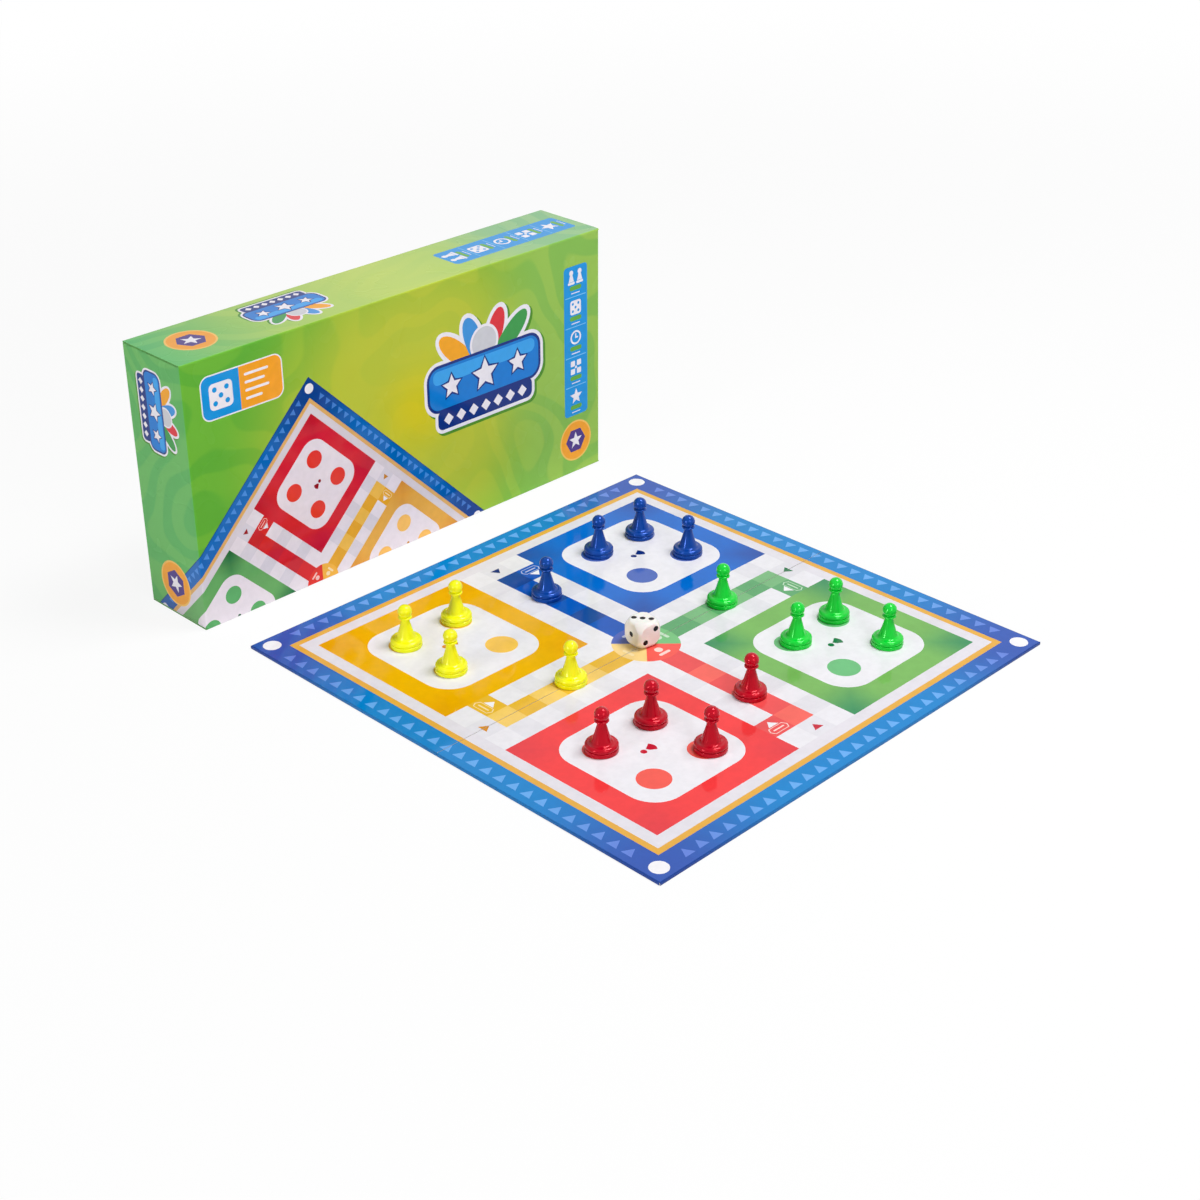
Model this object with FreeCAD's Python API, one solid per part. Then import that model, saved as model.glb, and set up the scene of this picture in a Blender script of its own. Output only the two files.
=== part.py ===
import FreeCAD, Part
import math
import os

# Magnetic ludo set: a folding board with sixteen magnetic pawns and a die, and the carton behind it.
# Millimetres. X runs along the fold, Y from the players' side to the carton, Z up from the table.
# The origin is on the table under the middle of the open board.

# Folding board
board_side = 320.0
print_t = 0.25
steel_t = 0.35
core_t = 0.95
liner_t = 0.25
fold_slit = 0.3
hinge_strip_w = 24.0

# Printed places that the pieces stand on
track_cell = 15.6
home_cells = 7
arm_cells = 3
home_circle_offset = 19.5

# Pawn
pawn_h = 26.3
pawn_base_d = 18.4
pawn_base_t = 2.5
pawn_base_edge_r = 0.5
pawn_bulge_inset = 0.1
pawn_bulge_r = 1.7
pawn_groove_land = 0.15
pawn_foot_d = 10.8
pawn_foot_step = 0.8
pawn_waist_d = 4.5
pawn_waist_hollow = 0.15
pawn_ring_d = 5.9
pawn_ring_t = 0.8
pawn_collar_d = 8.0
pawn_collar_t = 1.3
pawn_neck_d = 6.2
pawn_neck_h = 0.3
pawn_head_d = 8.2

# Magnet in the pawn's foot
magnet_d = 10.0
magnet_t = 3.0
magnet_fit = 0.1
magnet_recess = 0.2

# Die
die_side = 16.0
die_edge_r = 2.6
die_ball_d = 21.2
pip_d = 3.4
pip_depth = 0.35
pip_paint_t = 0.2
pip_paint_fit = 0.02
pip_pitch = 3.55
die_x = -0.4
die_y = 2.6
die_turn_deg = -10.3

# Carton
card_t = 0.8
carton_depth = 53.4
carton_gap = 34.5
carton_shift = -3.0
carton_fold_r = 1.0
carton_corner_r = 0.5
board_room = 0.5
lid_fit = 0.3
base_proud = 1.0
seam_w = 0.25
seam_depth = 0.5

# Folded card inserts at the two ends of the carton's base
insert_t = 0.6
insert_fit = 0.3
trough_w = 180.0
board_bay_depth = 6.5

# Clearance under pieces that stand on the board
stand_gap = 0.05

# Sizes that follow from the ones above
board_t = liner_t + core_t + steel_t + print_t
half_board = board_side / 2
half_slit = fold_slit / 2
half_strip = hinge_strip_w / 2
home_offset = track_cell * (home_cells + arm_cells) / 2
top_z = board_t + stand_gap


def block(x0, x1, y0, y1, z0, z1):
    """A box between two corners, given in either order along Y."""
    low = FreeCAD.Vector(x0, min(y0, y1), z0)
    return Part.makeBox(x1 - x0, abs(y1 - y0), z1 - z0, low)


def point(r, z):
    """A point of a turned profile, at radius r and height z."""
    return FreeCAD.Vector(r, 0, z)


def line(a, b):
    return Part.LineSegment(a, b).toShape()


def arc(a, through, b):
    return Part.Arc(a, through, b).toShape()


def on_circle(r_centre, z_centre, radius, degrees):
    """A point of a profile on a circle, at an angle up from the outward direction."""
    angle = math.radians(degrees)
    return point(r_centre + radius * math.cos(angle), z_centre + radius * math.sin(angle))


def board_half(side):
    """The layers of one half: side is +1 for the rear half and -1 for the front half."""
    inner_x = half_board - print_t
    inner_y = side * (half_board - print_t)
    fold_y = side * half_slit
    core_top = liner_t + core_t
    steel_top = core_top + steel_t
    wrap = block(-half_board, half_board, fold_y, side * half_board, 0, board_t)
    stack = block(-inner_x, inner_x, fold_y, inner_y, 0, steel_top)
    # The strip under the fold closes the slit from the rear half's side
    strip_start = -half_slit if side > 0 else fold_y
    return {
        "print_sheet": wrap.cut(stack),
        "steel_sheet": block(-inner_x, inner_x, fold_y, inner_y, core_top, steel_top),
        "core_board": block(-inner_x, inner_x, fold_y, inner_y, liner_t, core_top),
        "back_liner": block(-inner_x, inner_x, side * half_strip, inner_y, 0, liner_t),
        "hinge_strip": block(-inner_x, inner_x, strip_start, side * half_strip, 0, liner_t),
    }


def pawn():
    """A pawn turned about Z, standing on z = 0, with the magnet's pocket open below."""
    pocket_r = magnet_d / 2 + magnet_fit
    pocket_top = magnet_recess + magnet_t
    base_r = pawn_base_d / 2
    edge = pawn_base_edge_r
    # Share of a rounding's radius by which its middle lies inside the sharp corner
    round_mid = 1 - math.sqrt(0.5)
    edge_mid = edge * round_mid
    # Foot: a flange with rounded edges, then a bulge whose top sweeps up into the cone
    groove_r = base_r - edge - pawn_groove_land
    bulge_c = base_r - pawn_bulge_inset - pawn_bulge_r
    bulge_low = -math.degrees(math.acos((groove_r - bulge_c) / pawn_bulge_r))
    bulge_z = pawn_base_t - pawn_bulge_r * math.sin(math.radians(bulge_low))
    foot_z = bulge_z + pawn_bulge_r
    groove = on_circle(bulge_c, bulge_z, pawn_bulge_r, bulge_low)
    shoulder = point(bulge_c, foot_z)
    # Head: a ball, with its neck, collar and ring stacked below it
    head_r = pawn_head_d / 2
    head_z = pawn_h - head_r
    neck_r = pawn_neck_d / 2
    neck_top = head_z - math.sqrt(head_r ** 2 - neck_r ** 2)
    collar_top = neck_top - pawn_neck_h
    collar_low = collar_top - pawn_collar_t
    ring_low = collar_low - pawn_ring_t
    waist_r = pawn_waist_d / 2
    foot_r = pawn_foot_d / 2
    cone_low_z = foot_z + pawn_foot_step
    sweep_mid = point(foot_r + (bulge_c - foot_r) * round_mid, foot_z + pawn_foot_step * round_mid)
    cone_mid = point((foot_r + waist_r) / 2 - pawn_waist_hollow, (cone_low_z + ring_low) / 2)
    head_side = on_circle(0, head_z, head_r, 0)
    corners = {
        "pocket": point(pocket_r, 0),
        "base_low": point(base_r - edge, 0),
        "rim_low": point(base_r, edge),
        "rim_high": point(base_r, pawn_base_t - edge),
        "base_high": point(base_r - edge, pawn_base_t),
        "cone_low": point(foot_r, cone_low_z),
        "cone_high": point(waist_r, ring_low),
        "ring_high": point(neck_r, collar_low),
        "collar_high": point(neck_r, collar_top),
        "head_low": point(neck_r, neck_top),
        "tip": point(0, pawn_h),
        "pocket_axis": point(0, pocket_top),
        "pocket_top": point(pocket_r, pocket_top),
    }
    c = corners
    edges = [
        line(c["pocket"], c["base_low"]),
        arc(c["base_low"], point(base_r - edge_mid, edge_mid), c["rim_low"]),
        line(c["rim_low"], c["rim_high"]),
        arc(c["rim_high"], point(base_r - edge_mid, pawn_base_t - edge_mid), c["base_high"]),
        line(c["base_high"], groove),
        arc(groove, on_circle(bulge_c, bulge_z, pawn_bulge_r, 40), shoulder),
        arc(shoulder, sweep_mid, c["cone_low"]),
        arc(c["cone_low"], cone_mid, c["cone_high"]),
        arc(c["cone_high"], point(pawn_ring_d / 2, ring_low + pawn_ring_t / 2), c["ring_high"]),
        arc(c["ring_high"], point(pawn_collar_d / 2, collar_low + pawn_collar_t / 2), c["collar_high"]),
        line(c["collar_high"], c["head_low"]),
        arc(c["head_low"], head_side, c["tip"]),
        line(c["tip"], c["pocket_axis"]),
        line(c["pocket_axis"], c["pocket_top"]),
        line(c["pocket_top"], c["pocket"]),
    ]
    profile = Part.Face(Part.Wire(edges))
    return profile.revolve(FreeCAD.Vector(0, 0, 0), FreeCAD.Vector(0, 0, 1), 360)


def magnet():
    """The disc that fills the pawn's pocket up to its roof."""
    return Part.makeCylinder(magnet_d / 2, magnet_t, FreeCAD.Vector(0, 0, magnet_recess))


# Where each pawn stands: three on the circles of its home, nudged by hand, and one on its coloured arm
pawn_homes = {
    "yellow": (-1, 1, [(-1, 1, 0.2, -1.0), (1, 1, 0.8, 0.3), (-1, -1, -0.4, -1.2)]),
    "blue": (1, 1, [(-1, 1, 2.1, 0.1), (1, 1, -1.2, -1.1), (1, -1, 1.8, -0.3)]),
    "green": (1, -1, [(-1, 1, 2.5, -1.9), (1, 1, 1.8, 1.0), (1, -1, -0.8, -1.0)]),
    "red": (-1, -1, [(-1, 1, 0.3, -1.1), (1, 1, -0.6, -0.7), (1, -1, 2.1, -2.3)]),
}
pawn_arms = {"yellow": (-60.0, 0.6), "blue": (-0.5, 81.0), "green": (66.5, 0.7), "red": (-0.5, -79.0)}


def pawn_places(colour):
    side_x, side_y, circles = pawn_homes[colour]
    places = []
    for step_x, step_y, nudge_x, nudge_y in circles:
        x = side_x * home_offset + step_x * home_circle_offset + nudge_x
        y = side_y * home_offset + step_y * home_circle_offset + nudge_y
        places.append((x, y))
    places.append(pawn_arms[colour])
    return places


# Pips of each face as steps of the pitch, on the face's own two axes
pip_patterns = {
    1: [(0, 0)],
    2: [(-1, -1), (1, 1)],
    3: [(-1, 1), (0, 0), (1, -1)],
    4: [(-1, -1), (-1, 1), (1, -1), (1, 1)],
    5: [(-1, -1), (-1, 1), (0, 0), (1, -1), (1, 1)],
    6: [(-1, -1), (-1, 0), (-1, 1), (1, -1), (1, 0), (1, 1)],
}
axis_x = FreeCAD.Vector(1, 0, 0)
axis_y = FreeCAD.Vector(0, 1, 0)
axis_z = FreeCAD.Vector(0, 0, 1)
# Value, outward normal and the two axes of each face
die_faces = [
    (3, axis_z, axis_x, axis_y),
    (4, -axis_z, axis_x, axis_y),
    (2, -axis_y, axis_x, axis_z),
    (5, axis_y, axis_x, axis_z),
    (1, -axis_x, axis_y, axis_z),
    (6, axis_x, axis_y, axis_z),
]


def die():
    """The die and the paint in its pips, centred on the origin."""
    half = die_side / 2
    cube = Part.makeBox(die_side, die_side, die_side, FreeCAD.Vector(-half, -half, -half))
    cube = cube.makeFillet(die_edge_r, cube.Edges)
    body = cube.common(Part.makeSphere(die_ball_d / 2))
    recesses = []
    paints = []
    for value, normal, across, up in die_faces:
        for a, b in pip_patterns[value]:
            spot = across * (a * pip_pitch) + up * (b * pip_pitch)
            floor = spot + normal * (half - pip_depth)
            recesses.append(Part.makeCylinder(pip_d / 2, pip_depth, floor, normal))
            paints.append(Part.makeCylinder(pip_d / 2 - pip_paint_fit, pip_paint_t, floor, normal))
    return body.cut(recesses), Part.makeCompound(paints)


def edges_along(shape, test):
    """The edges of a shape whose middle point and direction pass a test."""
    chosen = []
    for edge in shape.Edges:
        middle = edge.CenterOfMass
        direction = edge.Vertexes[-1].Point - edge.Vertexes[0].Point
        if test(middle, direction):
            chosen.append(edge)
    return chosen


# Carton: the lid's panel faces the board, and the base opens towards it
carton_y = half_board + carton_gap
base_in_x = board_side / 2 + board_room
base_in_z = board_side / 4 + board_room
base_out_x = base_in_x + card_t
base_out_z = base_in_z + card_t
lid_in_x = base_out_x + lid_fit
lid_in_z = base_out_z + lid_fit
lid_out_x = lid_in_x + card_t
lid_out_z = lid_in_z + card_t
lid_back_y = carton_y + carton_depth
base_front_y = carton_y + card_t + lid_fit
base_back_y = lid_back_y + base_proud
base_floor_y = base_back_y - card_t


def carton_block(half_x, half_z, y0, y1):
    """A box about the carton's own long axis, standing with the lid on the table."""
    return block(carton_shift - half_x, carton_shift + half_x, y0, y1, lid_out_z - half_z, lid_out_z + half_z)


def folded_tray(outer, inner, panel_y):
    """A tray with its panel at panel_y: folds are rounded at the panel, and less so at the corners."""
    at_panel = edges_along(outer, lambda m, d: abs(m.y - panel_y) < card_t)
    outer = outer.makeFillet(carton_fold_r, at_panel)
    at_corners = edges_along(outer, lambda m, d: abs(d.y) > carton_depth / 2 and abs(d.x) + abs(d.z) < card_t)
    outer = outer.makeFillet(carton_corner_r, at_corners)
    return outer.cut(inner)


def carton_lid():
    tray = folded_tray(
        carton_block(lid_out_x, lid_out_z, carton_y, lid_back_y),
        carton_block(lid_in_x, lid_in_z, carton_y + card_t, lid_back_y),
        carton_y,
    )
    # Glued corners: a fine seam on each end wall where it meets the long walls
    seams = []
    for end in (-1, 1):
        outside = carton_shift + end * lid_out_x
        inside = outside - end * seam_depth
        for low_z in (card_t, 2 * lid_out_z - card_t - seam_w):
            x0, x1 = sorted((inside, outside))
            seams.append(block(x0, x1, carton_y + carton_fold_r, lid_back_y, low_z, low_z + seam_w))
    return tray.cut(seams)


def carton_base():
    return folded_tray(
        carton_block(base_out_x, base_out_z, base_front_y, base_back_y),
        carton_block(base_in_x, base_in_z, base_front_y, base_floor_y),
        base_back_y,
    )


def insert_channel(end):
    """A folded card that carries one end of the closed board: a deck on an outer leg and a trough wall."""
    leg_x = base_in_x - insert_fit
    wall_x = trough_w / 2
    low_z = lid_out_z - base_in_z + insert_fit
    high_z = lid_out_z + base_in_z - insert_fit
    deck_y = base_front_y + board_bay_depth
    plates = [
        (leg_x - insert_t, leg_x, base_floor_y),
        (wall_x, wall_x + insert_t, base_floor_y),
        (wall_x, leg_x, deck_y + insert_t),
    ]
    solids = []
    for near_x, far_x, back_y in plates:
        x0, x1 = sorted((end * near_x, end * far_x))
        solids.append(block(carton_shift + x0, carton_shift + x1, deck_y, back_y, low_z, high_z))
    return solids[0].fuse(solids[1:]).removeSplitter()


def stand(shape, x, y, z, turn_deg=0.0):
    """A copy of a shape moved to a place on the board."""
    copy = shape.copy()
    copy.Placement = FreeCAD.Placement(
        FreeCAD.Vector(x, y, z),
        FreeCAD.Rotation(axis_z, turn_deg),
    )
    return copy


nodes = {}
for half_name, half_side in (("rear", 1), ("front", -1)):
    for layer, solid in board_half(half_side).items():
        nodes[half_name + "_" + layer] = solid

pawn_shape = pawn()
magnet_shape = magnet()
for colour in pawn_homes:
    for number, (x, y) in enumerate(pawn_places(colour), start=1):
        nodes["%s_pawn_%d" % (colour, number)] = stand(pawn_shape, x, y, top_z)
        nodes["%s_pawn_magnet_%d" % (colour, number)] = stand(magnet_shape, x, y, top_z)

die_body, die_paint = die()
nodes["die"] = stand(die_body, die_x, die_y, top_z + die_side / 2, die_turn_deg)
nodes["die_pip_paint"] = stand(die_paint, die_x, die_y, top_z + die_side / 2, die_turn_deg)

nodes["carton_lid"] = carton_lid()
nodes["carton_base"] = carton_base()
nodes["left_insert"] = insert_channel(-1)
nodes["right_insert"] = insert_channel(1)

os.makedirs("parts", exist_ok=True)
for name, shape in nodes.items():
    shape.exportStep(os.path.join("parts", name + ".step"))
    volume = shape.Volume / 1000
    print("%-24s %d solids, %.3f cm3, valid %s" % (name, len(shape.Solids), volume, shape.isValid()))
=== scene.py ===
import math

import bmesh
import bpy
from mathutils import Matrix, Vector
from mathutils.geometry import delaunay_2d_cdt


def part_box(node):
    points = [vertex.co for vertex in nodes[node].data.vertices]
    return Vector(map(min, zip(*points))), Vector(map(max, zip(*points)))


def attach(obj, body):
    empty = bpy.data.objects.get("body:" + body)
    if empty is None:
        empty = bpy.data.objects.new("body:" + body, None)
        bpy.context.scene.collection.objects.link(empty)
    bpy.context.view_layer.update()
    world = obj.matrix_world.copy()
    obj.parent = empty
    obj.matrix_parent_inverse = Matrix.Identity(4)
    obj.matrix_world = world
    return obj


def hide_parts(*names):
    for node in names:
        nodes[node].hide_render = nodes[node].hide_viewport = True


# A magnetic ludo set: the printed folding board with its pawns and die, and the printed carton behind it.
# Prints are laid out in millimetres on flat blanks, cut into regions of one ink each, and folded into place.

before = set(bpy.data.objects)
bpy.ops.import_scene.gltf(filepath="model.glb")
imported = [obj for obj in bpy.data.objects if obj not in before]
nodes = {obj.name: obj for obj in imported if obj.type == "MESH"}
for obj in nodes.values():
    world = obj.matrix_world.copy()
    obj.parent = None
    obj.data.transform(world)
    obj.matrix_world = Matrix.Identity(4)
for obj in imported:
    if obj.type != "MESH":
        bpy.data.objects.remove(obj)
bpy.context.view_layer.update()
MM = 0.001
HALVES = ("rear", "front")
PAWNS_EACH = 4

# Camera, fitted to the photograph's whole frame
FRAME_PIXELS = 1200
FOCAL_PIXELS = 2025.8
SENSOR_MM = 36.0
CAMERA_PLACE = (-0.7346, -0.6839, 0.5847)
CAMERA_YAW_DEG = 45.54
CAMERA_PITCH_DEG = 28.92

# Board print, in millimetres from the board's centre
BOARD_HALF = 160.0
CELL = 15.6
ARM_ROWS = 7
ARM_HALF = 1.5 * CELL
FIELD = ARM_HALF + ARM_ROWS * CELL
HOME_CENTRE = ARM_HALF + ARM_ROWS * CELL / 2
HOME_HALF = ARM_ROWS * CELL / 2
HOME_PANEL = 79.5
HOME_PANEL_R = 17.5
CIRCLE_R = 9.5
CIRCLE_STEP = 19.5
LINE_OUTER = 144.2
LINE_INNER = 140.3
BORDER_EDGE = 159.3
CORNER_DOT = 151.2
CORNER_DOT_R = 5.3
BORDER_PITCH = 10.2
BORDER_COUNT = 13
BORDER_MIDDLE = 151.6
TRIANGLE_W = 7.2
TRIANGLE_H = 6.4
HUB_R = 20.0
HUB_OVERLAP = 3.0

# Signs on the board. A bar is its width, height and corner radius, a banner its half width and half height.
ARROW_W = 7.0
ARROW_H = 5.2
START_DROP = 7.2
START_W = 7.7
START_H = 4.8
BANNER_DROP = 10.7
BANNER_RIM = (7.0, 2.9)
BANNER_FACE = (6.3, 2.45)
BANNER_POINT = 0.55
BANNER_BAR = (8.4, 1.0, 0.4)
HUB_HEAD = 9.8
HUB_HEAD_R = 2.5
HUB_FOOT = 14.6
HUB_FOOT_BAR = (8.6, 2.2, 1.0)
HOME_HEAD = (-4.8, 1.6)
HOME_HEAD_R = 1.9
HOME_BODY = ((-2.3, 2.6), (-1.3, 0.6), (2.1, -1.8), (3.4, -0.2), (3.9, 1.7), (3.5, 3.6), (2.5, 5.3))

# Carton print, in millimetres from the middle of the lid's panel
PICTURE_SCALE = 0.592
PICTURE_TURN = -135.0
PICTURE_CENTRE = (-76.4, -83.1)
TIP_PANEL = {"x0": -149.8, "x1": -94.7, "y0": 45.2, "y1": 70.8, "split": -124.0}
PLAQUE_PLACE = (60.7, 20.3)
STRIP_SIZE = (103.8, 21.0)
STRIP_PLACE = (141.0, 11.0)
BADGE_R = 14.4
BADGE_PLACE = (140.3, -59.2)
TOP_BADGE_R = 15.0
TOP_BADGE_X = -135.0
TOP_PLAQUE_SCALE = 0.55
TOP_PLAQUE_X = -66.0
TOP_STRIP_SIZE = (103.0, 24.0)
TOP_STRIP_X = 104.4
TOP_STRIP_DROP = 1.5
END_PLAQUE_SCALE = 0.51
END_PLAQUE_INSET = 2.2
END_PLAQUE_UP = 46.5
END_BADGE_UP = -61.5

# Sheets, in millimetres
PRINT_T = 0.25
PRINT_FOLD_R = 0.5
PRINT_SEAM = 0.05
CARD_T = 0.8
CARD_FOLD_R = 1.0
CARD_SEAM = 0.05

# Where each colour's home lies and how far its arm is turned from the front arm
SIDES = {
    "yellow": {"home": (-1, 1), "turn": 270},
    "blue": {"home": (1, 1), "turn": 180},
    "green": {"home": (1, -1), "turn": 90},
    "red": {"home": (-1, -1), "turn": 0},
}

# Inks as web colours. Two codes are the middle and the corners of a square that blends between them.
INK_PARTS = ("home", "circle", "arm_a", "arm_b", "hub", "arrow", "mark")
BOARD_INKS = {
    "yellow": ("f0b400 e8a400", "fcca54", "ebb832", "f6cd66", "f6d48a", "d88c08", "fae2ac"),
    "blue": ("006cd0 1a4fa8", "4a68bc", "0056bd", "10479a", "4c61b8", "082a78", "c2c8e6"),
    "green": ("7ab85c 36905c", "6dc07e", "61aa70", "7bbb80", "79c480", "1f7848", "cde8cc"),
    "red": ("f63d3f e53942", "f65a4e", "ed5051", "f8675c", "f65a50", "c81e36", "fbd6ce"),
}
# The board's edge ink is a darker blue than the border, for the wrapped edges and outermost rim: painted
# shade of the rounded edge
BOARD_PLAIN = {
    "white": "f6f4f9", "panel": "eeecf2", "band": "e4e0e8", "cell_white": "eceaf0", "cell_grey": "e5e3ea",
    "border": "0084ce 3058b4", "triangle": "66acf0 6482dc", "line": "e8ae42", "edge": "0070b4 0c3e94",
}
PICTURE_INKS = {
    "yellow": ("e8ac48 dc9432", "fac062", "e8a828", "f0bc4c", "f0b440", "c88414", "f6deb0"),
    "blue": ("0a58b4 0c3c8c", "3060b0", "0a50a8", "2060b0", "3060b0", "0c2c70", "b8c4e0"),
    "green": ("68ac62 0a6c3c", "5cae68", "3c9858", "50a868", "48a860", "0c5c34", "c0e0c4"),
    "red": ("d81c2e c20a2e", "e8382a", "d82028", "cc2030", "e03028", "98101c", "f2c4c0"),
}
PICTURE_PLAIN = {
    "white": "f0ecf4", "panel": "ece2ec", "band": "dcd4de", "cell_white": "eae2ec", "cell_grey": "dcd6e2",
    "border": "0068bc 003c90", "triangle": "4890e0 4078cc", "line": "e0ae66", "edge": "0c2c78",
}
CARTON_INKS = {
    "strip": "0c94e0", "strip_line": "7cc8f2", "pill": "62ac3c",
    "plaque": "0a7cd4", "plaque_edge": "0c2f80", "plaque_light": "38a4ee", "shade": "4c8f22",
    "badge": "f8a428", "badge_rim": "fbc460", "badge_inner": "4a3488",
    "yellow_disc": "f8a81c", "blue_disc": "3c94de", "green_disc": "3c9c4c", "red_disc": "e0303c",
    "pale_disc": "cfcfd6",
}

# Greens of the carton's sides: warm middle, around it, cool end and far end. The top's greens are printed
# lighter and the ends' greens bluer than the panel's: painted sheen.
PANEL_GREENS = "d6ca1c bcc63c 6cb638 98c254"
TOP_GREENS_AND_SHEEN = "c0d468 b2ce68 62bc70 96c28a"
END_GREENS_AND_SHEEN = "94c84e 82c058 6eba66 8cc470"

# Spread of the greens, in metres: the shift of the warm middle from the lid's, its reach on the panel and on
# the walls, and where the far end starts and is full
GROUND_SHIFT = 0.006
PANEL_REACH = (0.155, 1.0, 0.14)
WALL_REACH = (0.185, 1.0, 1.0)
FAR_END = (0.045, 0.11)

# Pawn plastics: colour and shade, depth of glow, strength of shine and how white the shine is
PLASTICS = {
    "yellow": {"colour": "f4f600", "shade": "ece400", "glow": 0.12, "gloss": 0.8, "white": 0.4},
    "blue": {"colour": "003e94", "shade": "003078", "glow": 0.0, "gloss": 1.0, "white": 0.14},
    "green": {"colour": "00d236", "shade": "00b62a", "glow": 0.06, "gloss": 1.0, "white": 0.25},
    "red": {"colour": "ba001e", "shade": "980016", "glow": 0.0, "gloss": 1.0, "white": 0.12},
}

# White, the tints of a print's mottle and contours, how tightly the contours wind, and the shade in metal
WHITE = (1.0, 1.0, 1.0, 1.0)
MOTTLE_TINT = (0.95, 0.95, 0.95, 1.0)
CONTOUR_TINT = (0.74, 0.91, 0.94, 1.0)
CONTOUR_TURNS = 56.0
METAL_SHADE = "303236"

# Stage, in metres: the floor turns from its own share of white near the set to full white far off
FLOOR_HALF = 6.0
FLOOR_DROP = 0.0002
FLOOR_TONE = (0.92, 0.92, 0.92, 1.0)
FLOOR_WHITE = 0.9
FADE_START = 0.5
FADE_END = 1.7
SURROUND_LIGHT = 0.06


# Shader helpers

def srgb(code):
    """Linear colour of a six-digit web colour."""
    channels = [int(code[i:i + 2], 16) / 255 for i in (0, 2, 4)]
    linear = [c / 12.92 if c <= 0.04045 else ((c + 0.055) / 1.055) ** 2.4 for c in channels]
    return (*linear, 1.0)


def empty_tree(owner):
    """The cleared shader tree of a material or a world."""
    owner.use_nodes = True
    owner.node_tree.nodes.clear()
    return owner.node_tree


def set_inputs(tree, target, inputs):
    """Links a node's inputs to other nodes, or sets them to plain values."""
    for key, value in inputs.items():
        if isinstance(value, bpy.types.NodeSocket):
            tree.links.new(value, target.inputs[key])
        else:
            target.inputs[key].default_value = value


def node(tree, kind, inputs=None, **settings):
    """A shader node with its settings, and its inputs linked or set."""
    made = tree.nodes.new("ShaderNode" + kind)
    for key, value in settings.items():
        setattr(made, key, value)
    set_inputs(tree, made, inputs or {})
    return made


def calc(tree, operation, a, b=0.0):
    """A number worked out from one or two others."""
    return node(tree, "Math", {0: a, 1: b}, operation=operation).outputs[0]


def vector_calc(tree, operation, a, b=(0.0, 0.0, 0.0)):
    """A vector, or for a length or a dot product a number, worked out from one or two vectors."""
    made = node(tree, "VectorMath", {0: a, 1: b}, operation=operation)
    return made.outputs["Value" if operation in ("LENGTH", "DOT_PRODUCT") else "Vector"]


def ramp(tree, value, low, high, out_low=0.0, out_high=1.0):
    """A smooth step of a value from one range to another."""
    inputs = {"Value": value, "From Min": low, "From Max": high, "To Min": out_low, "To Max": out_high}
    return node(tree, "MapRange", inputs, interpolation_type="SMOOTHSTEP").outputs["Result"]


def mix(tree, factor, a, b, blend="MIX"):
    """A colour between two. With MULTIPLY, the second darkens the first as far as the factor says."""
    return node(tree, "Mix", {0: factor, 6: a, 7: b}, data_type="RGBA", blend_type=blend).outputs[2]


def two_tone(tree, pattern, share, colour, other):
    """A colour with a share of another where a pattern is strong."""
    return mix(tree, calc(tree, "MULTIPLY", pattern, share), srgb(colour), srgb(other))


def noise(tree, position, scale, detail=2.0):
    """Soft noise that stays near a half."""
    inputs = {"Vector": position, "Scale": scale, "Detail": detail}
    return node(tree, "TexNoise", inputs).outputs["Fac"]


def patches(tree, position, scale, detail=2.0, low=0.0, high=1.0):
    """Noise stretched into soft patches between two values."""
    return ramp(tree, noise(tree, position, scale, detail), 0.3, 0.7, low, high)


def squeezed(tree, position, factors):
    """The position with its axes squeezed, which turns noise into fibres."""
    return node(tree, "Mapping", {"Vector": position, "Scale": factors}).outputs[0]


def bump(tree, height, strength, distance):
    """A surface direction tilted by a height."""
    inputs = {"Height": height, "Strength": strength, "Distance": distance}
    return node(tree, "Bump", inputs).outputs["Normal"]


def new_finish(name):
    """A material with one Principled shader. Returns the material, its tree, the shader and the position."""
    material = bpy.data.materials.new(name)
    tree = empty_tree(material)
    shader = node(tree, "BsdfPrincipled")
    node(tree, "OutputMaterial", {"Surface": shader.outputs["BSDF"]})
    position = node(tree, "TexCoord").outputs["Object"]
    return material, tree, shader, position


def new_object(name, data):
    """An object in the scene."""
    made = bpy.data.objects.new(name, data)
    bpy.context.scene.collection.objects.link(made)
    return made


# Where a flat print lies in the frame

class Layout:
    """A print's origin in the frame, and the frame's vectors of one printed millimetre along and up."""

    BLEND_START = 0.4

    def __init__(self, origin, along, up):
        self.origin = Vector(origin) * MM
        self.along = Vector(along) * MM
        self.up = Vector(up) * MM

    def place(self, x, y):
        """Where a printed point lies in the frame."""
        return self.origin + self.along * x + self.up * y

    def corner_blend(self, tree, position, centre, half):
        """0 along the middle lines of a printed square, 1 at its corners."""
        offset = vector_calc(tree, "SUBTRACT", position, self.place(*centre))
        sizes = []
        for axis in (self.along, self.up):
            run = vector_calc(tree, "DOT_PRODUCT", offset, axis / axis.length_squared)
            sizes.append(calc(tree, "ABSOLUTE", run))
        return ramp(tree, calc(tree, "MINIMUM", *sizes), self.BLEND_START * half, half)


# Finishes

def laminated_ink(name, codes, blend=None):
    """Offset ink under a clear gloss film: faint mottle in the colour, faint ripple in the film."""
    material, tree, shader, position = new_finish(name)
    tones = [srgb(code) for code in codes.split()]
    base = tones[0]
    if len(tones) == 2:
        layout, centre, half = blend
        base = mix(tree, layout.corner_blend(tree, position, centre, half), *tones)
    mottle = patches(tree, position, scale=220.0, detail=4.0)
    ripple = noise(tree, position, scale=420.0, detail=3.0)
    set_inputs(tree, shader, {
        "Base Color": mix(tree, mottle, base, MOTTLE_TINT, "MULTIPLY"),
        "Roughness": patches(tree, position, scale=35.0, low=0.04, high=0.1),
        "Specular IOR Level": 0.2,
        "Normal": bump(tree, ripple, strength=0.03, distance=0.0002),
    })
    return material


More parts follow.
